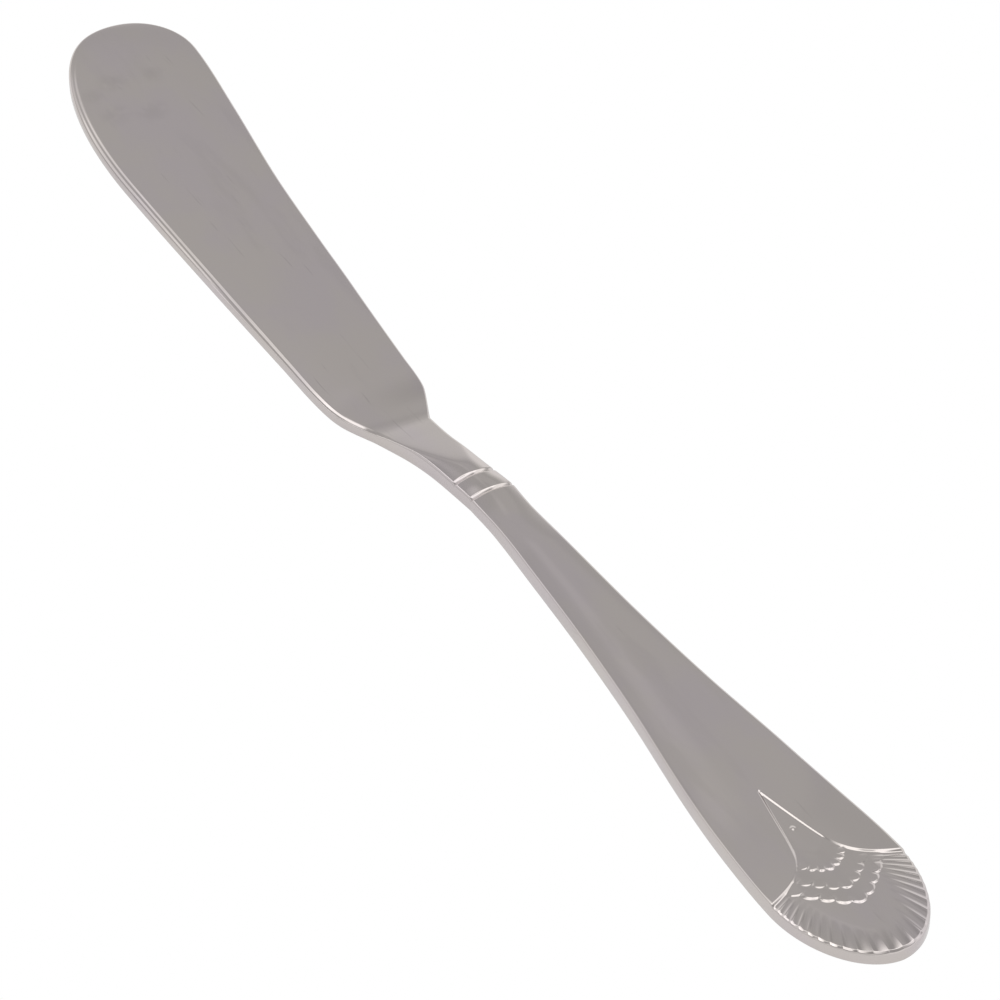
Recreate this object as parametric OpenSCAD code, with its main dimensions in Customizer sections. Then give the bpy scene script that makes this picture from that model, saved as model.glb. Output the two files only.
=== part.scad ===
// Butter knife, forged and coined from one strip of steel, lying on its flat back.
// The blade's tip points to -X, its spine faces +Y, and the handle's axis is the X axis.
// Each zone of the forging is a solid of its own, and the zones meet face to face.

/* [Blade] */
// Length from the tip to the notch behind the heel
blade_length = 81.5; // [65:0.1:105]
// Reach of the spine from the handle's axis, where the blade is widest
spine_reach = 9.85; // [7.5:0.05:12]
// Reach of the spreading edge from the handle's axis
edge_reach = 9.75; // [7.5:0.05:12]
// Height of the tip's foremost point above the handle's axis
tip_offset = 1.9; // [0:0.1:3]
// Length of the tip's round corner on the spine side
spine_corner_length = 9; // [6:0.5:14]
// Length of the tip's long curve on the edge side
edge_curve_length = 29.5; // [18:0.5:35]
// Thickness at the tip
tip_thickness = 1.3; // [1:0.05:1.7]
// Thickness at the heel
heel_thickness = 1.5; // [1.3:0.05:2.2]
// Width of the bevel along the spreading edge
bevel_width = 0.95; // [0.6:0.05:1.3]
// Width of the bevel near the heel
heel_bevel_width = 0.5; // [0.3:0.05:0.7]
// Length over which the flat face runs out into the neck
runout_length = 9; // [5:0.5:14]

/* [Neck] */
// Length from the notch to the collar's first groove
neck_length = 11.8; // [8:0.1:15]
// Reach of the neck's spine side at the notch
notch_reach = 0.7; // [0.2:0.05:1.2]
// Reach of the neck's edge side at the notch
shoulder_reach = 6.25; // [5:0.05:7.5]
// Height of the side walls of the neck's bar where it starts at the notch
heel_wall_height = 1.98; // [1.6:0.02:2.2]
// Height of the side walls at the collar
neck_wall_height = 1.7; // [1.4:0.05:2.1]
// Height of the sloping facet where it starts at the notch
facet_foot_height = 1.15; // [0.9:0.05:1.4]
// Length of the gentle bend from the blade up into that facet
facet_bend_length = 3.9; // [2:0.1:6]

/* [Collar] */
// Length between the two grooves
collar_length = 3.1; // [2:0.1:5]
// Half width of each groove
groove_width = 0.34; // [0.24:0.02:0.6]
// Depth of each groove in the face
groove_depth = 0.18; // [0.1:0.01:0.3]
// Depth of each groove in the side wall that faces the spine
side_groove_depth = 0.1; // [0.04:0.01:0.2]
// Swell of the band between the grooves
collar_swell = 0.02; // [0:0.01:0.15]

/* [Handle] */
// Length from the second groove to the ornamented end
handle_length = 53.4; // [40:0.1:80]
// Width at the slimmest place
grip_width = 5.3; // [4.4:0.1:7]
// Height of the side walls
wall_height = 2.05; // [1.8:0.05:2.6]
// Radius of the rounded rim between face and walls
rim_radius = 0.35; // [0.25:0.05:0.5]
// Chamfer around the flat back
back_chamfer = 0.2; // [0.1:0.05:0.3]

/* [Shell end] */
// Length of the ornamented end
shell_length = 29.5; // [26:0.5:36]
// Width at the widest place
shell_width = 16.2; // [13:0.1:20]
// Length of the rounded end
end_curve_length = 13; // [10:0.5:16]
// Rise of the end above the table
end_rise = 1.95; // [0:0.05:2.5]
// Length over which the end rises
rise_length = 27; // [20:1:40]
// Length of the gentle bend where the rise starts
bend_length = 10; // [4:1:16]

/* [Shell ornament] */
// Distance from the start of the ornamented end to the start of the curtain lines
curtain_start = 1.7; // [1:0.1:3]
// Length of the curtain lines along the axis
curtain_length = 15.4; // [13:0.1:18]
// Width of the curtain line's slope
curtain_step = 0.3; // [0.2:0.02:0.5]
// Depth of the field inside the curtain lines
field_depth = 0.2; // [0.1:0.02:0.3]
// Distance from the start of the ornamented end to the round bead
spot_at = 8.4; // [6:0.1:10]
// Radius of that bead
spot_radius = 0.45; // [0.3:0.05:0.8]
// Radius of the rounded nose of each row of scales
row_nose = 1.9; // [1:0.1:3]
// Height of each scale's rim
scale_height = 0.16; // [0.08:0.02:0.24]
// Length over which a scale rises to its rim
scale_length = 3.2; // [2:0.1:5]
// Width of the step at each scale's rim
scale_step = 0.35; // [0.2:0.05:0.6]
// Number of flutes in the fan
flute_count = 24; // [16:1:28]
// Depth of the flutes at the rim
flute_depth = 0.08; // [0.04:0.02:0.2]
// Length over which the flutes fade in from the rim
flute_length = 4.5; // [3:0.5:6]
// How much the shell's end rolls down to its rim
dome_depth = 0.2; // [0:0.05:0.4]
// Width of the chamfered lip around the fan
lip_width = 0.35; // [0.25:0.05:0.6]

/* [Hidden] */

// Places along the knife, measured from the blade's tip
heel_at = blade_length;
first_groove_at = heel_at + neck_length;
second_groove_at = first_groove_at + collar_length;
shell_at = second_groove_at + handle_length;
overall_length = shell_at + shell_length;
end_sliver = rim_radius / 35;
steel = [0.62, 0.6, 0.585];
steel_light = [0.7, 0.685, 0.67];

// Outline of the blade up to the notch: share of its length, share of its reach
spine_shares = [[0, 1], [0.12, 1], [0.262, 0.855], [0.434, 0.65], [0.585, 0.527], [0.68, 0.46],
    [0.757, 0.4], [0.88, 0.311], [0.93, 0.285], [0.947, 0.255]];
edge_shares = [[0, 1], [0.4, 1], [0.6, 0.975], [0.8, 0.935], [0.893, 0.915], [0.944, 0.85]];
// Outline of neck and collar: share of their length, share of the way from the notch to the handle
neck_spine_shares = [[0, 0], [0.31, 0.1], [0.57, 0.42], [0.79, 0.72], [1, 1]];
neck_edge_shares = [[0, 0], [0.273, 0.44], [0.46, 0.66], [0.64, 0.8], [1, 1]];
// Outline of handle and shell end: share of their length, share of the way from slim to wide
handle_shares = [[-0.04, 0.03], [0, 0.022], [0.06, 0.003], [0.16, 0.08], [0.3, 0.21], [0.45, 0.42],
    [0.6, 0.71], [0.72, 0.895], [0.83, 1], [1, 1]];
// Roundness of the two ends: 2 is an ellipse
tip_roundness_share = 2.2;
end_roundness_share = 1.97;

// Rise of the crowned face, as a share of its half width: blade, neck, handle and shell end
blade_crown_share = 0.0225;
neck_crown_share = 0.26;
handle_crown_share = 0.09;
shell_crown_share = 0.04;
// Lengths over which the neck's crown and walls turn into the handle's
crown_blend_length = 12;
wall_blend_length = 11;

// The bevel in two narrow facets, which turn into one wider facet at the heel
bevel_start = 3;
bevel_fade_length = 17;
bevel_taper_start = 30;
bevel_slope_share = 0.7;
heel_slope_share = 0.59;
bevel_line_share = 0.25;
heel_line_share = 0.6;
bevel_fall_share = 0.12;
bevel_edge_radius = 0.15;
spine_rim_radius = 0.25;

// The neck's facet: its rise along the knife, its lean across it and the softness of its crease
facet_rise_share = 0.125;
facet_lean_share = 0.064;
crease_radius = 0.12;
groove_roundness_share = 1.4;

// The curtain lines: how far their straight part opens, and the bend of their flare
curtain_slope_share = 0.19;
curtain_flare_share = 8.5;
spot_height = 0.12;
// Rows of scales, as shares of the curtain's length: each row's rim and the centre of its scales
row_rim_shares = [1.036, 1.25, 1.412];
row_centre_shares = [0.844, 0.955, 1.065];
// How far each row reaches to either side, as shares of half the shell's width
low_reach_shares = [0.42, 0.64, 0.75];
high_reach_shares = [0.43, 0.54, 0.71];
row_fade_width = 1.6;
row_slope_share = 1.15;
// Angle that one scale takes in its row, and the notches between scales
scale_angle = 22.3;
scale_notch_depth = 0.42;
scale_notch_length = 0.8;
scale_notch_share = 0.6;
// The fan: its centre, its reach to either side in degrees and the longer flutes on the spine side
fan_centre_share = 0.938;
fan_angle = 72;
high_flute_length = 6.5;
dome_width = 4.5;
lip_slope_share = 0.56;
lip_blend_length = 5;

// Numbers of stations along the zones and of points across the face, crowded towards the rims
tip_steps = 12;
blade_steps = 30;
runout_steps = 12;
neck_steps = 26;
collar_steps = 20;
shoulder_steps = 8;
handle_steps = 28;
stem_steps = 18;
row_steps = 38;
end_steps = 30;
blade_points = 20;
neck_points = 16;
handle_points = 14;
shell_points = 60;
blade_crowd_share = 0.8;
handle_crowd_share = 0.55;
shell_crowd_share = 0.25;

function clamp(t) = max(0, min(1, t));
function ease(t) = let (c = clamp(t)) c * c * (3 - 2 * c);
function mix(a, b, t) = a + (b - a) * t;
// The lower of two heights, with the crease between them rounded
function lower_of(a, b, radius) = (a + b - norm([a - b, radius])) / 2;

// Smooth curve through points, each [place, value], with the slopes of its neighbours
function slope(points, i) =
    let (a = points[max(0, i - 1)], b = points[min(len(points) - 1, i + 1)])
    (b[1] - a[1]) / (b[0] - a[0]);
function curve(points, x) =
    let (
        c = max(points[0][0], min(points[len(points) - 1][0], x)),
        i = max([for (k = [0:len(points) - 2]) if (points[k][0] <= c) k]),
        a = points[i], b = points[i + 1], w = b[0] - a[0], t = (c - a[0]) / w
    )
    (1 + 2 * t) * (1 - t) * (1 - t) * a[1] + t * (1 - t) * (1 - t) * w * slope(points, i)
    + t * t * (3 - 2 * t) * b[1] - t * t * (1 - t) * w * slope(points, i + 1);

// Quarter of a rounded end: 0 at its point, 1 where it is full
function round_end(t, roundness) = pow(max(0, 1 - pow(1 - clamp(t), roundness)), 1 / roundness);

// Half the width of handle and shell end
function handle_half(s) =
    let (share = (s - second_groove_at) / (handle_length + shell_length))
    mix(grip_width, shell_width, curve(handle_shares, share)) / 2
    * round_end((overall_length - s) / end_curve_length, end_roundness_share);

// Depth of the grooves at a place, as a share
function groove_share(s) =
    let (d = min(abs(s - first_groove_at), abs(s - second_groove_at)))
    pow(clamp(1 - d / groove_width), groove_roundness_share);

// Reach of one side of the outline from the handle's axis
function side(s, reach, shares, curve_length, offset, neck_reach, neck_shares) =
    s < heel_at
        ? let (all_shares = concat(shares, [[1, neck_reach / reach]]))
            mix(offset, reach * curve(all_shares, s / blade_length),
                round_end(s / curve_length, tip_roundness_share))
        : s < second_groove_at
            ? mix(neck_reach, handle_half(second_groove_at),
                curve(neck_shares, (s - heel_at) / (neck_length + collar_length)))
            : handle_half(s);
function high_side(s) =
    side(s, spine_reach, spine_shares, spine_corner_length, tip_offset, notch_reach, neck_spine_shares)
    - side_groove_depth * groove_share(s);
function low_side(s) =
    -side(s, edge_reach, edge_shares, edge_curve_length, -tip_offset, shoulder_reach, neck_edge_shares);

// A smooth bend, within w to either side of 0, from level to a rise of 1 in 1
function bend(d, w) = d < -w ? 0 : d > w ? d : pow(d + w, 2) / (4 * w);

// Height of the back above the table
function back(s) =
    end_rise / rise_length * bend(s - overall_length + rise_length, bend_length / 2);

// The round of the face across the knife, before its share is applied
function crown(s, y) =
    let (half = (high_side(s) - low_side(s)) / 2, off = y - (high_side(s) + low_side(s)) / 2)
    half - off * off / max(half, rim_radius);

function blade_face(s, y) =
    mix(tip_thickness, heel_thickness, s / blade_length) + blade_crown_share * crown(s, y);

// Face of the neck's rounded bar, which flattens into the handle
function bar_face(s, y) =
    let (
        neck_wall = mix(heel_wall_height, neck_wall_height, ease((s - heel_at) / neck_length)),
        wall = mix(neck_wall, wall_height, ease((s - second_groove_at) / wall_blend_length)),
        bar = mix(neck_crown_share, handle_crown_share,
            ease((s - first_groove_at + collar_length) / crown_blend_length)),
        share = mix(bar, shell_crown_share, ease((s - second_groove_at) / handle_length))
    )
    wall + share * crown(s, y);

// Flat slope from the blade's notch up onto the neck's bar, bent up out of the blade
function facet(s, y) =
    let (
        lead = facet_bend_length / 3,
        rise = bend(s - heel_at + lead, facet_bend_length / 2) - lead
    )
    facet_foot_height + facet_rise_share * rise - facet_lean_share * y;
function neck_face(s, y) =
    lower_of(bar_face(s, y), facet(s, y), crease_radius * ease((s - heel_at) / collar_length));

// Grooves, and the swell between them
function collar_relief(s) =
    let (t = (s - first_groove_at) / collar_length)
    collar_swell * ease(1 - abs(2 * t - 1)) - groove_depth * groove_share(s);

// Half the opening between the curtain lines at a distance along them
function curtain_half(along) =
    let (t = max(0, along / curtain_length), straight = curtain_slope_share * curtain_length)
    straight * t + (shell_width / 2 - straight) * pow(t, curtain_flare_share);
// Distance into the field from the nearer curtain line, less than zero outside it
function field_distance(along, y) =
    let (step = curtain_step / 8, here = curtain_half(along), ahead = curtain_half(along + step))
    (here - abs(y)) / norm([1, (ahead - here) / step]);

// Rows of scales laid like shingles: each rises to its rim and steps down to the next row
function scale_relief(along, y, ground, row = 0) =
    row == len(row_rim_shares) ? ground
        : let (
            middle = row_centre_shares[row] * curtain_length,
            first_rim = row_rim_shares[row] * curtain_length,
            within = atan2(y, along - middle) / scale_angle + 1 / 2,
            notch = pow(2 * (within - floor(within)) - 1, 2),
            round_off = norm([y, row_nose]),
            lean = norm([1, row_slope_share * y / round_off]),
            behind = (first_rim - row_slope_share * (round_off - row_nose) - along) / lean,
            inside = behind - scale_notch_depth * notch / lean,
            dip = 1 - scale_notch_share * notch * notch * ease(1 - inside / scale_notch_length),
            height = scale_height * (1 - clamp(behind / scale_length)) * dip,
            reach = (y < 0 ? low_reach_shares[row] : high_reach_shares[row]) * shell_width / 2,
            share = ease(inside / scale_step + 1 / 2) * clamp((reach - abs(y)) / row_fade_width)
        )
        mix(scale_relief(along, y, ground, row + 1), height, share);

// Flutes between sharp ridges, fading in from the rim
function flute_relief(s, along, y) =
    let (
        angle = atan2(y, along - fan_centre_share * curtain_length),
        across = (angle / fan_angle + 1) / 2 * flute_count,
        f = across - floor(across),
        length = mix(flute_length, high_flute_length, ease(y / flute_length + 1 / 2)),
        depth = flute_depth * ease(1 - rim_distance(s, y) / length)
    )
    abs(angle) > fan_angle ? 0 : depth * (pow(2 * f - 1, 2) - 1);

// How much the shell's end rolls down towards its rim
function dome_drop(s, y) =
    dome_depth * ease((s - shell_at - curtain_length) / dome_width / 2)
    * pow(1 - clamp(rim_distance(s, y) / dome_width), 2);

function shell_relief(s, y) =
    let (
        along = s - shell_at,
        opened = along - curtain_start,
        field = clamp(field_distance(opened, y) / curtain_step + 1 / 2),
        relief = scale_relief(along, y, flute_relief(s, along, y)) - dome_drop(s, y) - field_depth,
        spot = spot_height * ease(1 - norm([along - spot_at, y]) / spot_radius)
    )
    opened < 0 ? 0 : field * relief + spot;

// Height of the face above the back, before its rim is rounded
function face(s, y) =
    s < heel_at
        ? mix(blade_face(s, y), facet(s, y), ease(1 - (heel_at - s) / runout_length))
        : s < second_groove_at
            ? neck_face(s, y) + collar_relief(s)
            : bar_face(s, y) + collar_relief(s) + (s > shell_at ? shell_relief(s, y) : 0);

// Distance of a point from the outline
function rim_distance(s, y) =
    let (
        step = rim_radius / 50,
        ahead = high_side(s + step) - low_side(s + step),
        behind = high_side(s - step) - low_side(s - step),
        half = (high_side(s) - low_side(s)) / 2,
        off = y - (high_side(s) + low_side(s)) / 2,
        lean = half * (ahead - behind) / (4 * step)
    )
    (half * half - off * off) / (2 * max(norm([lean, off]), rim_radius / 100));

function quarter_round(distance, radius) =
    let (t = 1 - clamp(distance / radius)) radius * (1 - sqrt(1 - t * t));

// The bevel along the spreading edge, over a small round
function bevel_drop(s, distance) =
    let (
        taper = ease((s - bevel_taper_start) / (heel_at - bevel_taper_start)),
        wide = mix(bevel_width, heel_bevel_width, taper),
        t = clamp(distance / wide),
        line = mix(bevel_line_share, heel_line_share, taper),
        lines = clamp((1 - t) / line) + (1 - taper) * clamp((1 / 2 - t) / line)
    )
    mix(bevel_slope_share, heel_slope_share, taper) * wide * (line * lines + bevel_fall_share * (1 - t))
    + quarter_round(distance, bevel_edge_radius);

// How much the rim lowers the face: the bevel on the blade's edge, a lip on the shell, else a round
function rim_drop(s, y) =
    let (
        distance = rim_distance(s, y),
        middle = (high_side(s) + low_side(s)) / 2,
        cut = ease((s - bevel_start) / bevel_fade_length) * ease((middle - y) / bevel_width),
        blade = mix(quarter_round(distance, spine_rim_radius), bevel_drop(s, distance), cut),
        heel = ease((s - heel_at + runout_length / 4) / runout_length * 2),
        lip = lip_slope_share * lip_width * (1 - clamp(distance / lip_width))
            + quarter_round(distance, bevel_edge_radius),
        shell = ease((s - shell_at - curtain_length) / lip_blend_length + 1 / 2)
    )
    mix(mix(blade, quarter_round(distance, rim_radius), heel), lip, shell);

function top(s, y) = back(s) + face(s, y) - rim_drop(s, y);

// Points across the face: close together at the rims, even between them
function across_place(i, n, crowd) =
    let (t = 2 * i / n - 1) i == 0 ? -1 : i == n ? 1 : sin(90 * t) * crowd + t * (1 - crowd);

// One closed section, seen from the handle: over the face, then back along the flat underside
function section(s, n, crowd) =
    let (
        low = low_side(s), high = high_side(s), floor_z = back(s),
        cut = min(back_chamfer, (high - low) / 4),
        x = s - overall_length / 2
    )
    concat(
        [for (i = [0:n]) let (y = mix(low, high, (across_place(i, n, crowd) + 1) / 2)) [x, y, top(s, y)]],
        [[x, high, floor_z + cut], [x, high - cut, floor_z]],
        [[x, low + cut, floor_z], [x, low, floor_z + cut]]
    );

// A closed solid through the sections at the given places, its ends fanned from a corner of the back
module loft(places, n, crowd) {
    rings = [for (s = places) section(s, n, crowd)];
    count = n + 5;
    corner = n + 3;
    last = (len(places) - 1) * count;
    polyhedron(
        [for (ring = rings) each ring],
        concat(
            [[for (i = [0:count - 1]) (corner + i) % count]],
            [for (k = [0:len(places) - 2], i = [0:count - 1], half = [0, 1])
                let (a = k * count + i, b = k * count + (i + 1) % count)
                half == 0 ? [a, a + count, b] : [b, a + count, b + count]],
            [[for (i = [0:count - 1]) last + (corner + count - i) % count]]
        )
    );
}

// Evenly spaced places, places that crowd towards the first one, and places that crowd towards both
function even(from, to, steps) = [for (i = [0:steps]) mix(from, to, i / steps)];
function crowded(from, to, steps) = [for (i = [0:steps]) mix(from, to, 1 - cos(90 * i / steps))];
function gathered(from, to, steps) = [for (i = [0:steps]) mix(from, to, (1 - cos(180 * i / steps)) / 2)];
// A run of places that goes on from another, and a run the other way round
function joined(a, b) = concat(a, [for (i = [1:len(b) - 1]) b[i]]);
function turned(a) = [for (i = [1:len(a)]) a[len(a) - i]];

module blade() {
    tip = crowded(end_sliver, spine_corner_length, tip_steps);
    rest = even(spine_corner_length, heel_at - runout_length, blade_steps);
    runout = even(heel_at - runout_length, heel_at, runout_steps);
    color(steel) loft(joined(joined(tip, rest), runout), blade_points, blade_crowd_share);
}

module neck() {
    color(steel_light)
        loft(turned(crowded(first_groove_at, heel_at, neck_steps)), neck_points, handle_crowd_share);
}

module collar() {
    color(steel)
        loft(gathered(first_groove_at, second_groove_at, collar_steps), neck_points, handle_crowd_share);
}

module handle() {
    shoulder = crowded(second_groove_at, second_groove_at + collar_length, shoulder_steps);
    rest = even(second_groove_at + collar_length, shell_at, handle_steps);
    color(steel) loft(joined(shoulder, rest), handle_points, handle_crowd_share);
}

module shell_end() {
    rows_at = shell_at + row_centre_shares[0] * curtain_length;
    rows_end_at = shell_at + row_rim_shares[len(row_rim_shares) - 1] * curtain_length;
    stem = even(shell_at, rows_at, stem_steps);
    rows = even(rows_at, rows_end_at, row_steps);
    end = turned(crowded(overall_length - end_sliver, rows_end_at, end_steps));
    color(steel_light) loft(joined(joined(stem, rows), end), shell_points, shell_crowd_share);
}

blade();
neck();
collar();
handle();
shell_end();
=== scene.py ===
import math
import bpy
import numpy as np
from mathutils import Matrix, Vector


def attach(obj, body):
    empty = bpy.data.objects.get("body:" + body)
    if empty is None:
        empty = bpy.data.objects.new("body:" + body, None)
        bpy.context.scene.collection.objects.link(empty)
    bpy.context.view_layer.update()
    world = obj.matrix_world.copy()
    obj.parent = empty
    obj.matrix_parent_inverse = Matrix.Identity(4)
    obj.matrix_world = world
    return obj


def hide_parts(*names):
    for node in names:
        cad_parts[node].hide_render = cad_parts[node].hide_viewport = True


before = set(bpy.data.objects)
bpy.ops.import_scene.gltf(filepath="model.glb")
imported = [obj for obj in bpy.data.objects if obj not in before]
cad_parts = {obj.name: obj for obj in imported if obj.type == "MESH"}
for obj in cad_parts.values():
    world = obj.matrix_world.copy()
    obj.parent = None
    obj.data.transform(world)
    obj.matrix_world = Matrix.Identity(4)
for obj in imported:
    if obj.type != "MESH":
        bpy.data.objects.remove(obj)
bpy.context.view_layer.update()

# Butter knife, forged and coined from one strip of polished steel. Sizes are millimetres: along
# the knife from the blade's tip, across it from the handle's axis, and up from the table. A share
# is a part of the size it is multiplied with, and pairs are (place, value) on a smooth curve.
MM = 0.001

# Blade
BLADE_LENGTH = 81.5
SPINE_REACH = 9.85
EDGE_REACH = 9.75
TIP_OFFSET = 1.9
SPINE_CORNER_LENGTH = 9
EDGE_CURVE_LENGTH = 29.5
TIP_THICKNESS = 1.3
HEEL_THICKNESS = 1.5
BEVEL_WIDTH = 0.95
HEEL_BEVEL_WIDTH = 0.5
BEVEL_START = 3
BEVEL_FADE_LENGTH = 17
BEVEL_TAPER_START = 30
BEVEL_SLOPE_SHARE = 0.7
HEEL_SLOPE_SHARE = 0.59
BEVEL_LINE_SHARE = 0.25
HEEL_LINE_SHARE = 0.6
BEVEL_FALL_SHARE = 0.12
BEVEL_EDGE_RADIUS = 0.15
SPINE_RIM_RADIUS = 0.25
RUNOUT_LENGTH = 9
RIM_BLEND_LENGTH = RUNOUT_LENGTH / 2
SPINE_SHARES = ((0, 1), (0.12, 1), (0.262, 0.855), (0.434, 0.65), (0.585, 0.527), (0.68, 0.46),
                (0.757, 0.4), (0.88, 0.311), (0.93, 0.285), (0.947, 0.255))
EDGE_SHARES = ((0, 1), (0.4, 1), (0.6, 0.975), (0.8, 0.935), (0.893, 0.915), (0.944, 0.85))
TIP_ROUNDNESS = 2.2
BLADE_CROWN_SHARE = 0.0225

# Neck and collar
NECK_LENGTH = 11.8
NOTCH_REACH = 0.7
SHOULDER_REACH = 6.25
HEEL_WALL_HEIGHT = 1.98
NECK_WALL_HEIGHT = 1.7
NECK_CROWN_SHARE = 0.26
FACET_FOOT_HEIGHT = 1.15
FACET_RISE_SHARE = 0.125
FACET_LEAN_SHARE = 0.064
FACET_BEND_LENGTH = 3.9
FACET_BEND_LEAD = FACET_BEND_LENGTH / 3
NECK_SPINE_SHARES = ((0, 0), (0.31, 0.1), (0.57, 0.42), (0.79, 0.72), (1, 1))
NECK_EDGE_SHARES = ((0, 0), (0.273, 0.44), (0.46, 0.66), (0.64, 0.8), (1, 1))
CREASE_RADIUS = 0.12
COLLAR_LENGTH = 3.1
GROOVE_WIDTH = 0.34
GROOVE_DEPTH = 0.18
GROOVE_ROUNDNESS_SHARE = 1.4
SIDE_GROOVE_DEPTH = 0.1
COLLAR_SWELL = 0.02
CROWN_BLEND_LENGTH = 12
WALL_BLEND_LENGTH = 11

# Handle and shell end
HANDLE_LENGTH = 53.4
GRIP_WIDTH = 5.3
WALL_HEIGHT = 2.05
CROWN_SHARE = 0.09
SHELL_CROWN_SHARE = 0.04
RIM_RADIUS = 0.35
BACK_RADIUS = 0.2
SHELL_LENGTH = 29.5
SHELL_WIDTH = 16.2
END_CURVE_LENGTH = 13
END_ROUNDNESS = 1.97
END_RISE = 1.95
RISE_LENGTH = 27
BEND_LENGTH = 10
HANDLE_SHARES = ((-0.04, 0.03), (0, 0.022), (0.06, 0.003), (0.16, 0.08), (0.3, 0.21),
                 (0.45, 0.42), (0.6, 0.71), (0.72, 0.895), (0.83, 1), (1, 1))

# Shell ornament
CURTAIN_START = 1.7
CURTAIN_LENGTH = 15.4
CURTAIN_SLOPE_SHARE = 0.19
CURTAIN_FLARE_SHARE = 8.5
CURTAIN_STEP = 0.3
FIELD_DEPTH = 0.2
SPOT_AT = 8.4
SPOT_RADIUS = 0.45
SPOT_HEIGHT = 0.12
ROW_RIM_SHARES = (1.036, 1.25, 1.412)
ROW_CENTRE_SHARES = (0.844, 0.955, 1.065)
ROW_NOSE = 1.9
ROW_SLOPE_SHARE = 1.15
LOW_REACH_SHARES = (0.42, 0.64, 0.75)
HIGH_REACH_SHARES = (0.43, 0.54, 0.71)
SCALE_ANGLE = math.radians(22.3)
SCALE_HEIGHT = 0.16
SCALE_LENGTH = 3.2
SCALE_STEP = 0.35
ROW_FADE_WIDTH = 1.6
SCALE_NOTCH_DEPTH = 0.42
SCALE_NOTCH_LENGTH = 0.8
SCALE_NOTCH_SHARE = 0.6
FAN_CENTRE_SHARE = 0.938
FAN_ANGLE = math.radians(72)
FLUTE_COUNT = 24
FLUTE_DEPTH = 0.08
FLUTE_LENGTH = 4.5
HIGH_FLUTE_LENGTH = 6.5
DOME_DEPTH = 0.2
DOME_WIDTH = 4.5
DOME_BLEND_LENGTH = 2 * DOME_WIDTH
LIP_WIDTH = 0.35
LIP_SLOPE_SHARE = 0.56
LIP_BLEND_LENGTH = 5

# Places along the knife
HEEL_AT = BLADE_LENGTH
FIRST_GROOVE_AT = HEEL_AT + NECK_LENGTH
SECOND_GROOVE_AT = FIRST_GROOVE_AT + COLLAR_LENGTH
SHELL_AT = SECOND_GROOVE_AT + HANDLE_LENGTH
END_AT = SHELL_AT + SHELL_LENGTH

# The mesh: how short of a point its ends stop, the steps that slopes are taken over, the stations
# along each stretch, the places across each piece and how much those crowd at the rims
END_SLIVER = RIM_RADIUS / 35
OUTLINE_PROBE = RIM_RADIUS / 50
CURTAIN_PROBE = CURTAIN_STEP / 8
LEAST_RIM_LEAN = RIM_RADIUS / 100
TIP_STEPS = 40
BLADE_STEPS = 190
NECK_STEPS = 110
COLLAR_STEPS = 60
GRIP_START_STEPS = 60
GRIP_STEPS = 110
STEM_STEPS = 70
SCALES_STEPS = 120
FAN_STEPS = 120
BLADE_ACROSS, BLADE_CROWDING = 120, 0.8
NECK_ACROSS, NECK_CROWDING = 72, 0.5
GRIP_ACROSS, GRIP_CROWDING = 72, 0.6
SHELL_ACROSS, SHELL_CROWDING = 250, 0.25
BACK_CORNER_STEPS = 4
SMOOTH_ANGLE = math.radians(38)
SEWING_REACH = 1e-8
CAP_REACH = 1e-7


def clamp(t):
    return np.clip(t, 0, 1)


def ease(t):
    c = clamp(t)
    return c * c * (3 - 2 * c)


def mix(a, b, t):
    return a + (b - a) * t


def curve(points, x):
    """Smooth curve through points, each (place, value), with the slopes of its neighbours."""
    px, py = (np.array(column, float) for column in zip(*points))
    before = np.maximum(np.arange(len(px)) - 1, 0)
    after = np.minimum(np.arange(len(px)) + 1, len(px) - 1)
    slopes = (py[after] - py[before]) / (px[after] - px[before])
    c = np.clip(x, px[0], px[-1])
    i = np.clip(np.searchsorted(px, c, side="right") - 1, 0, len(px) - 2)
    w = px[i + 1] - px[i]
    t = (c - px[i]) / w
    start = (1 + 2 * t) * (1 - t) ** 2 * py[i] + t * (1 - t) ** 2 * w * slopes[i]
    return start + t * t * (3 - 2 * t) * py[i + 1] - t * t * (1 - t) * w * slopes[i + 1]


def round_end(t, roundness):
    return np.maximum(0, 1 - (1 - clamp(t)) ** roundness) ** (1 / roundness)


def handle_half(s):
    share = (s - SECOND_GROOVE_AT) / (HANDLE_LENGTH + SHELL_LENGTH)
    wide = mix(GRIP_WIDTH, SHELL_WIDTH, curve(HANDLE_SHARES, share)) / 2
    return wide * round_end((END_AT - s) / END_CURVE_LENGTH, END_ROUNDNESS)


def groove_share(s):
    d = np.minimum(abs(s - FIRST_GROOVE_AT), abs(s - SECOND_GROOVE_AT))
    return clamp(1 - d / GROOVE_WIDTH) ** GROOVE_ROUNDNESS_SHARE


def side(s, reach, shares, curve_length, tip_offset, neck_reach, neck_shares):
    """Reach of one side of the outline from the handle's axis."""
    share = curve((*shares, (1, neck_reach / reach)), s / BLADE_LENGTH)
    blade = mix(tip_offset, reach * share, round_end(s / curve_length, TIP_ROUNDNESS))
    neck_share = curve(neck_shares, (s - HEEL_AT) / (NECK_LENGTH + COLLAR_LENGTH))
    neck = mix(neck_reach, handle_half(SECOND_GROOVE_AT), neck_share)
    return np.where(s < HEEL_AT, blade, np.where(s < SECOND_GROOVE_AT, neck, handle_half(s)))


def high_side(s):
    reach = side(s, SPINE_REACH, SPINE_SHARES, SPINE_CORNER_LENGTH, TIP_OFFSET,
                 NOTCH_REACH, NECK_SPINE_SHARES)
    return reach - SIDE_GROOVE_DEPTH * groove_share(s)


def low_side(s):
    return -side(s, EDGE_REACH, EDGE_SHARES, EDGE_CURVE_LENGTH, -TIP_OFFSET,
                 SHOULDER_REACH, NECK_EDGE_SHARES)


def half_and_middle(s):
    """Half the knife's width, and how far its middle lies from the handle's axis."""
    high, low = high_side(s), low_side(s)
    return (high - low) / 2, (high + low) / 2


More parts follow.
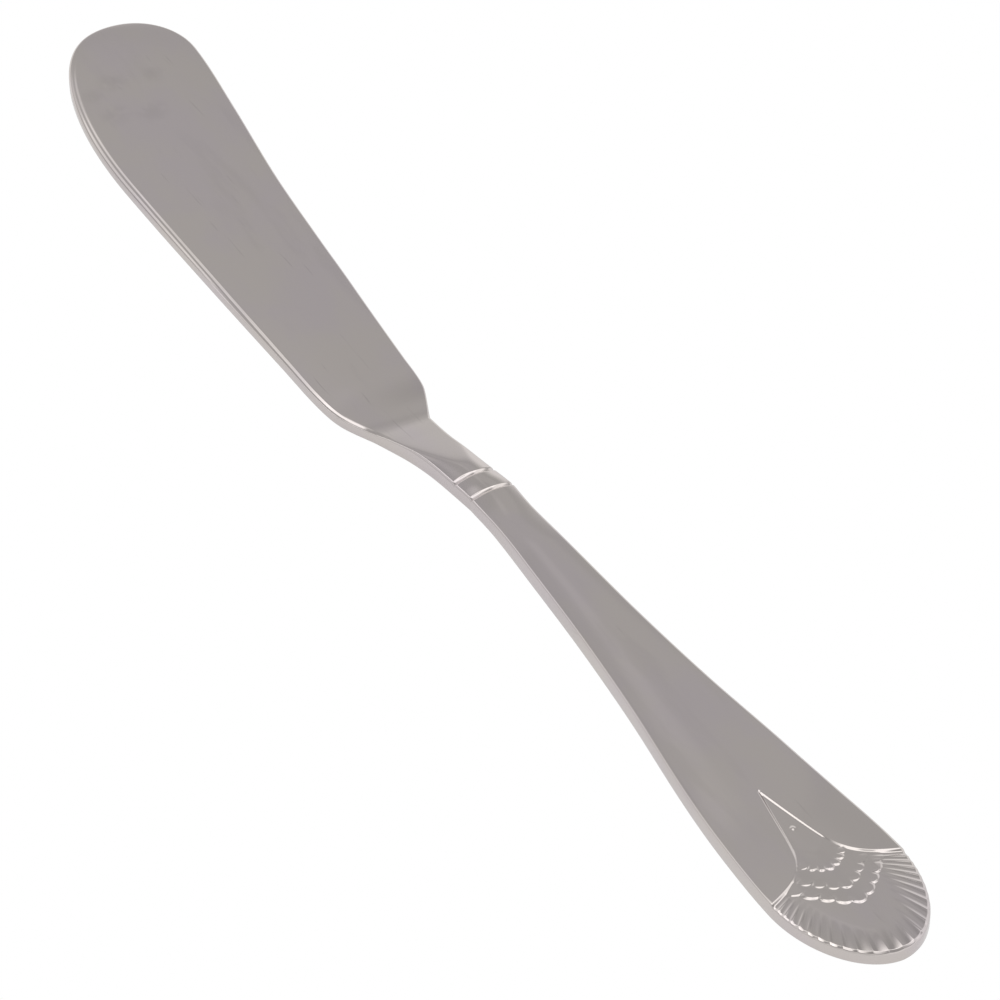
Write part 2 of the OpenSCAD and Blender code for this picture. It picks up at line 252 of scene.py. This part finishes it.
def back(s):
    """Height of the flat back above the table: the shell end rises from it."""
    return END_RISE / RISE_LENGTH * bend_up(s - END_AT + RISE_LENGTH, BEND_LENGTH)


def crown(s, y):
    """The round of the face across the knife, before its share is applied."""
    half, middle = half_and_middle(s)
    return half - (y - middle) ** 2 / np.maximum(half, RIM_RADIUS)


def blade_face(s, y):
    return mix(TIP_THICKNESS, HEEL_THICKNESS, s / BLADE_LENGTH) + BLADE_CROWN_SHARE * crown(s, y)


def bar_face(s, y):
    """Face of the neck's rounded bar, which flattens into the handle."""
    near_wall = mix(HEEL_WALL_HEIGHT, NECK_WALL_HEIGHT, ease((s - HEEL_AT) / NECK_LENGTH))
    wall = mix(near_wall, WALL_HEIGHT, ease((s - SECOND_GROOVE_AT) / WALL_BLEND_LENGTH))
    flatter = ease((s - FIRST_GROOVE_AT + COLLAR_LENGTH) / CROWN_BLEND_LENGTH)
    bar = mix(NECK_CROWN_SHARE, CROWN_SHARE, flatter)
    share = mix(bar, SHELL_CROWN_SHARE, ease((s - SECOND_GROOVE_AT) / HANDLE_LENGTH))
    return wall + share * crown(s, y)


def bend_up(d, length):
    """Bends smoothly, over a length centred on 0, from level to a rise of 1 in 1."""
    w = length / 2
    return np.where(d > w, d, np.maximum(d + w, 0) ** 2 / (4 * w))


def facet(s, y):
    """Flat slope from the blade's notch up onto the neck's bar, bent up out of the blade."""
    rise = bend_up(s - HEEL_AT + FACET_BEND_LEAD, FACET_BEND_LENGTH) - FACET_BEND_LEAD
    return FACET_FOOT_HEIGHT + FACET_RISE_SHARE * rise - FACET_LEAN_SHARE * y


def lower_of(a, b, radius):
    """The lower of two heights, with the crease between them rounded."""
    return (a + b - np.sqrt((a - b) ** 2 + radius ** 2)) / 2


def neck_face(s, y):
    radius = CREASE_RADIUS * ease((s - HEEL_AT) / COLLAR_LENGTH)
    return lower_of(bar_face(s, y), facet(s, y), radius)


def collar_relief(s):
    """The collar's faint swell between its two grooves."""
    t = (s - FIRST_GROOVE_AT) / COLLAR_LENGTH
    return COLLAR_SWELL * ease(1 - abs(2 * t - 1)) - GROOVE_DEPTH * groove_share(s)


def curtain_half(along):
    """Half the opening between the two curtain lines."""
    t = np.maximum(0, along / CURTAIN_LENGTH)
    straight = CURTAIN_SLOPE_SHARE * CURTAIN_LENGTH
    return straight * t + (SHELL_WIDTH / 2 - straight) * t ** CURTAIN_FLARE_SHARE


def field_distance(along, y):
    """Distance into the shell's field from the nearer curtain line, less than zero outside it."""
    here, ahead = curtain_half(along), curtain_half(along + CURTAIN_PROBE)
    return (here - abs(y)) / np.hypot(1, (ahead - here) / CURTAIN_PROBE)


def scale_relief(along, y, ground):
    """Rows of scales laid like shingles: each rises to its rim and steps down to the next row."""
    relief = ground
    for row in reversed(range(len(ROW_RIM_SHARES))):
        middle = ROW_CENTRE_SHARES[row] * CURTAIN_LENGTH
        first_rim = ROW_RIM_SHARES[row] * CURTAIN_LENGTH
        within = np.arctan2(y, along - middle) / SCALE_ANGLE + 0.5
        notch = (2 * (within - np.floor(within)) - 1) ** 2
        round_off = np.hypot(y, ROW_NOSE)
        lean = np.hypot(1, ROW_SLOPE_SHARE * y / round_off)
        behind = (first_rim - ROW_SLOPE_SHARE * (round_off - ROW_NOSE) - along) / lean
        inside = behind - SCALE_NOTCH_DEPTH * notch / lean
        dip = 1 - SCALE_NOTCH_SHARE * notch ** 2 * ease(1 - inside / SCALE_NOTCH_LENGTH)
        height = SCALE_HEIGHT * (1 - clamp(behind / SCALE_LENGTH)) * dip
        reach = np.where(y < 0, LOW_REACH_SHARES[row], HIGH_REACH_SHARES[row]) * SHELL_WIDTH / 2
        share = ease(inside / SCALE_STEP + 0.5) * clamp((reach - abs(y)) / ROW_FADE_WIDTH)
        relief = mix(relief, height, share)
    return relief


def flute_relief(s, along, y):
    """Flutes between sharp ridges, deepest at the rim."""
    angle = np.arctan2(y, along - FAN_CENTRE_SHARE * CURTAIN_LENGTH)
    across = (angle / FAN_ANGLE + 1) / 2 * FLUTE_COUNT
    f = across - np.floor(across)
    rim = rim_distance(s, y)
    length = mix(FLUTE_LENGTH, HIGH_FLUTE_LENGTH, ease(y / FLUTE_LENGTH + 1 / 2))
    depth = FLUTE_DEPTH * ease(1 - rim / length)
    return np.where(abs(angle) > FAN_ANGLE, 0, depth * ((2 * f - 1) ** 2 - 1))


def dome_drop(s, y):
    """How much the shell's end rolls down towards its rim."""
    share = ease((s - SHELL_AT - CURTAIN_LENGTH) / DOME_BLEND_LENGTH)
    return DOME_DEPTH * share * (1 - clamp(rim_distance(s, y) / DOME_WIDTH)) ** 2


def shell_relief(s, y):
    """The sunk field between the curtain lines, with its scales, flutes and small round spot."""
    along = s - SHELL_AT
    opened = along - CURTAIN_START
    inside = field_distance(opened, y)
    field = clamp(inside / CURTAIN_STEP + 0.5)
    relief = scale_relief(along, y, flute_relief(s, along, y)) - dome_drop(s, y) - FIELD_DEPTH
    spot = SPOT_HEIGHT * ease(1 - np.hypot(along - SPOT_AT, y) / SPOT_RADIUS)
    return np.where(opened < 0, 0, field * relief + spot)


def face(s, y):
    """Height of the face above the back, before its rim is rounded."""
    runout = ease(1 - (HEEL_AT - s) / RUNOUT_LENGTH)
    blade = mix(blade_face(s, y), facet(s, y), runout)
    neck = neck_face(s, y) + collar_relief(s)
    handle = bar_face(s, y) + collar_relief(s) + shell_relief(s, y)
    return np.where(s < HEEL_AT, blade, np.where(s < SECOND_GROOVE_AT, neck, handle))


def rim_distance(s, y):
    """Distance from the nearest rim, square to it."""
    half, middle = half_and_middle(s)
    ahead, behind = (half_and_middle(s + d)[0] for d in (OUTLINE_PROBE, -OUTLINE_PROBE))
    off = y - middle
    lean = half * (ahead - behind) / (2 * OUTLINE_PROBE)
    return (half ** 2 - off ** 2) / (2 * np.maximum(np.hypot(lean, off), LEAST_RIM_LEAN))


def quarter_round(distance, radius):
    """Drop of a rounded rim at a distance from it."""
    t = clamp(distance / radius)
    return radius * (1 - np.sqrt(1 - (1 - t) ** 2))


def bevel_drop(s, distance):
    """Drop of the edge's bevel, in two facets that taper to one at the heel."""
    taper = ease((s - BEVEL_TAPER_START) / (HEEL_AT - BEVEL_TAPER_START))
    wide = mix(BEVEL_WIDTH, HEEL_BEVEL_WIDTH, taper)
    slope = mix(BEVEL_SLOPE_SHARE, HEEL_SLOPE_SHARE, taper)
    line = mix(BEVEL_LINE_SHARE, HEEL_LINE_SHARE, taper)
    t = clamp(distance / wide)
    lines = clamp((1 - t) / line) + (1 - taper) * clamp((1 / 2 - t) / line)
    facets = line * lines + BEVEL_FALL_SHARE * (1 - t)
    return slope * wide * facets + quarter_round(distance, BEVEL_EDGE_RADIUS)


def rim_drop(s, y):
    """How much the rim lowers the face: a bevel on the blade's edge, a lip on the shell's end,
    and a round elsewhere."""
    distance = rim_distance(s, y)
    middle = half_and_middle(s)[1]
    cut = ease((s - BEVEL_START) / BEVEL_FADE_LENGTH) * ease((middle - y) / BEVEL_WIDTH)
    blade = mix(quarter_round(distance, SPINE_RIM_RADIUS), bevel_drop(s, distance), cut)
    past_heel = ease((s - HEEL_AT + RIM_BLEND_LENGTH / 2) / RIM_BLEND_LENGTH)
    plain = mix(blade, quarter_round(distance, RIM_RADIUS), past_heel)
    lip = LIP_SLOPE_SHARE * LIP_WIDTH * (1 - clamp(distance / LIP_WIDTH))
    lip = lip + quarter_round(distance, BEVEL_EDGE_RADIUS)
    on_shell = ease((s - SHELL_AT - CURTAIN_LENGTH) / LIP_BLEND_LENGTH + 0.5)
    return mix(plain, lip, on_shell)


def top(s, y):
    """Height of the finished face above the table."""
    return back(s) + face(s, y) - rim_drop(s, y)


def even(start, stop, steps):
    return np.linspace(start, stop, steps + 1)


def crowded(start, stop, steps):
    """Places from start to stop, crowded at the start."""
    return mix(start, stop, 1 - np.cos(np.linspace(0, math.pi / 2, steps + 1)))


def across_places(steps, crowding):
    """Places across the face from side to side, 0 to 1, crowded at the rims."""
    t = np.linspace(-1, 1, steps + 1)
    return (mix(t, np.sin(math.pi / 2 * t), crowding) + 1) / 2


def section_points(places, share):
    """Closed sections at the given places: over the face, down the wall and along the back."""
    s, t = np.meshgrid(places, share, indexing="ij")
    low, high, floor = low_side(s[:, 0]), high_side(s[:, 0]), back(s[:, 0])
    y = mix(low[:, None], high[:, None], t)
    face_z = top(s, y)
    corner = even(0, math.pi / 2, BACK_CORNER_STEPS)
    cut = np.minimum(BACK_RADIUS, (high - low) / 4)[:, None]
    turn_y, turn_z = cut * (1 - np.cos(corner)), cut * (1 - np.sin(corner))
    back_y = np.hstack([high[:, None] - turn_y, (low[:, None] + turn_y)[:, ::-1]])
    back_z = floor[:, None] + np.hstack([turn_z, turn_z[:, ::-1]])
    all_y = np.hstack([y, back_y, y[:, :1]])
    all_z = np.hstack([face_z, back_z, face_z[:, :1]])
    all_x = np.repeat(places[:, None] - END_AT / 2, all_y.shape[1], axis=1)
    return np.stack([all_x, all_y, all_z], axis=2) * MM


def rolled_sheet(name, places, share):
    """A grid rolled into a tube of steel along the knife, sewn along its low side and capped."""
    points = section_points(places, share)
    stations, columns = points.shape[:2]
    bpy.ops.object.select_all(action="DESELECT")
    bpy.ops.mesh.primitive_grid_add(
        x_subdivisions=stations - 1, y_subdivisions=columns - 1, size=2)
    piece = bpy.context.object
    piece.name = piece.data.name = name
    flat = np.empty(len(piece.data.vertices) * 3)
    piece.data.vertices.foreach_get("co", flat)
    flat = flat.reshape(-1, 3)
    station = np.rint((flat[:, 0] + 1) / 2 * (stations - 1)).astype(int)
    column = np.rint((flat[:, 1] + 1) / 2 * (columns - 1)).astype(int)
    piece.data.vertices.foreach_set("co", points[station, column].ravel())
    bpy.ops.object.mode_set(mode="EDIT")
    bpy.ops.mesh.select_all(action="SELECT")
    bpy.ops.mesh.remove_doubles(threshold=SEWING_REACH)
    for x in points[0, 0, 0], points[-1, 0, 0]:
        cap_end(piece, x)
    bpy.ops.mesh.select_all(action="SELECT")
    bpy.ops.mesh.normals_make_consistent(inside=False)
    bpy.ops.object.mode_set(mode="OBJECT")
    bpy.ops.object.shade_smooth_by_angle(angle=SMOOTH_ANGLE)
    return piece


def cap_end(piece, x):
    """Closes the open end of the tube that lies at x."""
    bpy.ops.mesh.select_mode(type="EDGE")
    bpy.ops.mesh.select_all(action="DESELECT")
    bpy.ops.object.mode_set(mode="OBJECT")
    mesh = piece.data
    at_x = np.array([abs(v.co.x - x) < CAP_REACH for v in mesh.vertices])
    for edge in mesh.edges:
        edge.select = bool(at_x[edge.vertices[0]] and at_x[edge.vertices[1]])
    bpy.ops.object.mode_set(mode="EDIT")
    bpy.ops.mesh.edge_face_add()


def make_blade():
    tip = crowded(END_SLIVER, SPINE_CORNER_LENGTH, TIP_STEPS)
    rest = even(SPINE_CORNER_LENGTH, HEEL_AT, BLADE_STEPS)
    share = across_places(BLADE_ACROSS, BLADE_CROWDING)
    return rolled_sheet("blade_steel", np.concatenate([tip, rest[1:]]), share)


def make_neck():
    places = even(HEEL_AT, FIRST_GROOVE_AT, NECK_STEPS)
    return rolled_sheet("neck_steel", places, across_places(NECK_ACROSS, NECK_CROWDING))


def make_collar():
    places = even(FIRST_GROOVE_AT, SECOND_GROOVE_AT, COLLAR_STEPS)
    return rolled_sheet("collar_steel", places, across_places(NECK_ACROSS, NECK_CROWDING))


def make_handle():
    near = even(SECOND_GROOVE_AT, SECOND_GROOVE_AT + COLLAR_LENGTH, GRIP_START_STEPS)
    rest = even(SECOND_GROOVE_AT + COLLAR_LENGTH, SHELL_AT, GRIP_STEPS)
    share = across_places(GRIP_ACROSS, GRIP_CROWDING)
    return rolled_sheet("handle_steel", np.concatenate([near, rest[1:]]), share)


def make_shell_end():
    scales_at = SHELL_AT + ROW_CENTRE_SHARES[0] * CURTAIN_LENGTH
    fan_at = SHELL_AT + ROW_RIM_SHARES[-1] * CURTAIN_LENGTH
    stem = even(SHELL_AT, scales_at, STEM_STEPS)
    scales = even(scales_at, fan_at, SCALES_STEPS)
    fan = crowded(END_AT - END_SLIVER, fan_at, FAN_STEPS)[::-1]
    share = across_places(SHELL_ACROSS, SHELL_CROWDING)
    return rolled_sheet("shell_steel", np.concatenate([stem, scales[1:], fan[1:]]), share)


class Value:
    """A shader socket that can be worked with like a number."""

    def __init__(self, finish, socket):
        self.finish = finish
        self.socket = socket

    def op(self, operation, *others, first=None):
        inputs = [self if first is None else first, *others]
        settings = {"operation": operation}
        return self.finish.node("ShaderNodeMath", settings, dict(enumerate(inputs)))

    def __add__(self, other):
        return self.op("ADD", other)

    def __mul__(self, other):
        return self.op("MULTIPLY", other)

    def __truediv__(self, other):
        return self.op("DIVIDE", other)

    def __rsub__(self, other):
        return self.op("SUBTRACT", self, first=other)

    __radd__ = __add__
    __rmul__ = __mul__

    def smooth(self, low, high):
        """0 below low, 1 above high, eased between."""
        settings = {"interpolation_type": "SMOOTHSTEP"}
        inputs = {"Value": self, "From Min": low, "From Max": high}
        return self.finish.node("ShaderNodeMapRange", settings, inputs)


class Finish:
    """The nodes of a material or a world, built one by one."""

    def __init__(self, owner):
        owner.use_nodes = True
        self.tree = owner.node_tree
        self.tree.nodes.clear()

    def node(self, kind, settings=None, inputs=None, out=0):
        """Adds a node, sets its settings, then the values or links of its sockets."""
        made = self.tree.nodes.new(kind)
        for name, value in (settings or {}).items():
            setattr(made, name, value)
        for name, value in (inputs or {}).items():
            if isinstance(value, Value):
                self.tree.links.new(value.socket, made.inputs[name])
            else:
                made.inputs[name].default_value = value
        return Value(self, made.outputs[out]) if made.outputs else None


# The steel's colour, with a warmer and a cooler painted sheen, and its stained colour
WARM_SHEEN_STEEL = (0.605, 0.56, 0.535)
COOL_SHEEN_STEEL = (0.595, 0.545, 0.55)
STAINED_STEEL = tuple(level / 2 for level in COOL_SHEEN_STEEL)

# Painted warm and cool sheen, and marks in the steel. Each cloud has its grains to the metre
# along, across and up, its turn, its detail, and the levels between which it comes in.
SHEEN = {"scale": (70, 130, 130), "turn": 0.2, "levels": (0.35, 0.65)}
SMEAR = {"scale": (45, 240, 200), "turn": 0.12, "rough": 0.6, "levels": (0.52, 0.72)}
SCRATCH = {"scale": (140, 2600, 900), "turn": -0.06, "detail": 2, "levels": (0.68, 0.76)}
MOTTLE = {"scale": (520, 520, 520), "rough": 0.7, "levels": (0.36, 0.6)}
SMEAR_SHARE = 0.5
SMEAR_ROUGHNESS = 0.06
SMUDGE_SHARE = 0.7
SMUDGE_CORE_SHARE = 1 / 3

# Smudges near the blade's tip, each (place from the tip, place across, radius)
BLADE_SMUDGES = ((17.6, -0.5, 3.2), (11.2, 2.8, 2.8), (10.2, -2, 3), (16, -4.5, 3),
                 (11.4, -5.4, 2.5))

# Numbers of a colour Mix node's sockets: its two colours, and the one that comes out
FIRST_COLOUR, SECOND_COLOUR, MIXED_COLOUR = 6, 7, 2


def opaque(colour):
    return (*colour, 1)


def steel_finish(name, dull, stains, smudges=()):
    """Polished steel with a painted sheen in warmer and cooler patches, smears, scratches and
    smudges.
    """
    material = bpy.data.materials.new(name)
    steel = Finish(material)
    place = steel.node("ShaderNodeTexCoord", out="Object")

    def cloud(scale, levels, turn=0, detail=3, rough=0.55):
        laid = steel.node("ShaderNodeMapping", None, {
            "Vector": place, "Rotation": (0, 0, turn), "Scale": scale})
        grain = steel.node("ShaderNodeTexNoise", None, {
            "Vector": laid, "Scale": 1, "Detail": detail, "Roughness": rough})
        return grain.smooth(*levels)

    def blend(factor, first, second):
        inputs = {"Factor": factor, FIRST_COLOUR: first, SECOND_COLOUR: second}
        return steel.node("ShaderNodeMix", {"data_type": "RGBA"}, inputs, out=MIXED_COLOUR)

    smear = cloud(**SMEAR)
    marks = smear * SMEAR_SHARE + cloud(**SCRATCH)
    spots = 0
    for x, y, radius in smudges:
        middle = ((x - END_AT / 2) * MM, y * MM, 0)
        away = steel.node("ShaderNodeVectorMath", {"operation": "DISTANCE"}, {
            0: place, 1: middle}, out="Value")
        spots = spots + (1 - away.smooth(SMUDGE_CORE_SHARE * radius * MM, radius * MM))
    if smudges:
        marks = marks + spots * cloud(**MOTTLE) * SMUDGE_SHARE
    # Painted sheen: warmer and cooler reflections laid as patches into the steel's colour
    sheen = blend(cloud(**SHEEN), opaque(WARM_SHEEN_STEEL), opaque(COOL_SHEEN_STEEL))
    tint = blend(marks.op("MINIMUM", 1) * stains, sheen, opaque(STAINED_STEEL))
    shader = steel.node("ShaderNodeBsdfPrincipled", None, {
        "Base Color": tint, "Metallic": 1.0, "Roughness": dull + smear * SMEAR_ROUGHNESS})
    steel.node("ShaderNodeOutputMaterial", None, {"Surface": shader})
    return material


def dress(piece, material):
    piece.data.materials.clear()
    piece.data.materials.append(material)


WHITE = (1, 1, 1)
BLACK = (0, 0, 0)
TABLE_WHITE = (0.9, 0.9, 0.9)
TABLE_RADIUS = 3000
TABLE_SIDES = 96
TABLE_GAP = 0.05
TABLE_GLOW_SHARE = 0.7


def white_table():
    """A white table under the knife: full white to the camera, nearly so in the steel."""
    bpy.ops.object.select_all(action="DESELECT")
    bpy.ops.mesh.primitive_circle_add(
        vertices=TABLE_SIDES, radius=TABLE_RADIUS * MM, fill_type="NGON",
        location=(0, 0, -TABLE_GAP * MM))
    table = bpy.context.object
    table.name = "table"
    material = bpy.data.materials.new("table_white")
    white = Finish(material)
    seen = white.node("ShaderNodeLightPath", out="Is Camera Ray")
    mirrored = white.node("ShaderNodeLightPath", out="Is Glossy Ray")
    glow = white.node("ShaderNodeEmission", None, {"Color": opaque(WHITE)})
    shine = white.node("ShaderNodeEmission", None, {"Color": opaque(TABLE_WHITE)})
    paint = white.node("ShaderNodeBsdfDiffuse", None, {"Color": opaque(TABLE_WHITE)})
    below = white.node("ShaderNodeMixShader", None, {
        0: mirrored * TABLE_GLOW_SHARE, 1: paint, 2: shine})
    mixed = white.node("ShaderNodeMixShader", None, {0: seen, 1: below, 2: glow})
    white.node("ShaderNodeOutputMaterial", None, {"Surface": mixed})
    dress(table, material)


# The studio that the steel mirrors is white, and each zone adds its strength to that or, below 0,
# takes it away. A zone is bounded by where a direction points: forward to the shell end, left to
# the spine, up, and off the middle of the strip light. A bound is (opens, closes), each of them
# None or the two places that it is eased between.
STRIP_ACROSS = (-0.19, 0.84, 0.51)
STRIP_BOUNDS = {"off_strip": (None, (0.06, 0.12)), "left": (None, (-0.25, -0.15))}
STUDIO_ZONES = (
    # Greyer higher up, with a slightly lighter belt, then a bright ceiling that dims overhead
    (-0.468, {"up": ((0.29, 0.55), None)}),
    (0.04, {"up": ((0.575, 0.6), (0.72, 0.76))}),
    (1.1, {"up": ((0.82, 0.95), None)}),
    (-0.8, {"up": ((0.985, 0.998), None)}),
    # Shade from the front round to the sides, and on the low near side
    (-0.09, {"forward": ((-0.58, -0.42), None), "left": (None, (0.5, 0.65)),
             "up": ((0.46, 0.52), (0.84, 0.92))}),
    (-0.25, {"left": (None, (-0.45, -0.25)), "up": (None, (0.35, 0.5))}),
    # Fill low down: on the near side, and far over to the left
    (0.3, {"left": (None, (0.12, 0.3)), "up": ((0.28, 0.4), (0.58, 0.67))}),
    (0.5, {"forward": ((-0.12, -0.04), None), "left": ((0.75, 0.82), None),
           "up": ((0.36, 0.46), (0.56, 0.6))}),
    # A faint panel on the left, and past it the glint in the grooves and on the coined steps
    (0.05, {"left": ((0.27, 0.3), (0.335, 0.355)), "up": ((0.66, 0.69), None)}),
    (0.8, {"forward": ((-0.4, -0.15), None), "left": ((0.34, 0.46), None),
           "up": ((0.62, 0.72), None)}),
    # The strip light, seen in the bevel's lines: faint along the blade, full at the heel
    (0.24, {**STRIP_BOUNDS, "forward": (None, (0, 0.2))}),
    (0.96, {**STRIP_BOUNDS, "forward": ((-0.68, -0.57), (0, 0.2))}),
)
BRIGHTEST = 4


def studio_world():
    """A pale studio in the steel, and plain white to the camera."""
    world = bpy.data.worlds.new("studio")
    bpy.context.scene.world = world
    sky = Finish(world)
    direction = sky.node("ShaderNodeTexCoord", out="Generated")
    off_strip = sky.node("ShaderNodeVectorMath", {"operation": "DOT_PRODUCT"}, {
        0: direction, 1: STRIP_ACROSS}, out="Value")
    ways = {"off_strip": off_strip.op("ABSOLUTE")}
    for way, axis in ("forward", "X"), ("left", "Y"), ("up", "Z"):
        ways[way] = sky.node("ShaderNodeSeparateXYZ", None, {0: direction}, out=axis)
    level = 1
    for strength, bounds in STUDIO_ZONES:
        for way, (opens, closes) in bounds.items():
            if opens:
                strength = strength * ways[way].smooth(*opens)
            if closes:
                strength = strength * (1 - ways[way].smooth(*closes))
        level = level + strength
    dark = sky.node("ShaderNodeBackground", None, {"Color": opaque(BLACK)})
    bright = sky.node("ShaderNodeBackground", None, {
        "Color": opaque(WHITE), "Strength": BRIGHTEST})
    shine = sky.node("ShaderNodeMixShader", None, {0: level / BRIGHTEST, 1: dark, 2: bright})
    plain = sky.node("ShaderNodeBackground", None, {"Color": opaque(WHITE), "Strength": 1})
    seen = sky.node("ShaderNodeLightPath", out="Is Camera Ray")
    both = sky.node("ShaderNodeMixShader", None, {0: seen, 1: shine, 2: plain})
    sky.node("ShaderNodeOutputWorld", None, {"Surface": both})


# The photograph's view
CAMERA_AIM = (6.78, 1.01, 0)
CAMERA_BEARING = math.radians(59.6)
CAMERA_LIFT = math.radians(42)
CAMERA_DISTANCE = 673.7
CAMERA_LENS = 219.24
CAMERA_SENSOR = 36
NEAREST_SEEN, FARTHEST_SEEN = 10, 20000


def photo_camera():
    """A camera at the photograph's bearing, height and distance, with its long lens."""
    level = math.cos(CAMERA_LIFT)
    away = Vector((math.sin(CAMERA_BEARING) * level, -math.cos(CAMERA_BEARING) * level,
                   math.sin(CAMERA_LIFT)))
    bpy.ops.object.select_all(action="DESELECT")
    bpy.ops.object.camera_add(location=(Vector(CAMERA_AIM) + away * CAMERA_DISTANCE) * MM)
    camera = bpy.context.object
    camera.rotation_euler = away.to_track_quat("Z", "Y").to_euler()
    camera.data.lens = CAMERA_LENS
    camera.data.sensor_width = CAMERA_SENSOR
    camera.data.clip_start = NEAREST_SEEN * MM
    camera.data.clip_end = FARTHEST_SEEN * MM
    bpy.context.scene.camera = camera


handle_steel = steel_finish("handle_polish", dull=0.1, stains=0.16)
blade_steel = steel_finish("blade_polish", dull=0.12, stains=0.2, smudges=BLADE_SMUDGES)
shell_steel = steel_finish("shell_polish", dull=0.1, stains=0.1)

PIECES = (
    (make_blade, "blade", "blade_steel", blade_steel),
    (make_neck, "neck", "handle_steel", handle_steel),
    (make_collar, "collar", "handle_steel", handle_steel),
    (make_handle, "handle", "handle_steel", handle_steel),
    (make_shell_end, "shell_end", "shell_steel", shell_steel),
)
for make, node, slot, material in PIECES:
    piece = make()
    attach(piece, "root")
    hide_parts(node)
    dress(piece, material)

photo_camera()
white_table()
studio_world()

bpy.context.scene.view_settings.view_transform = "Standard"
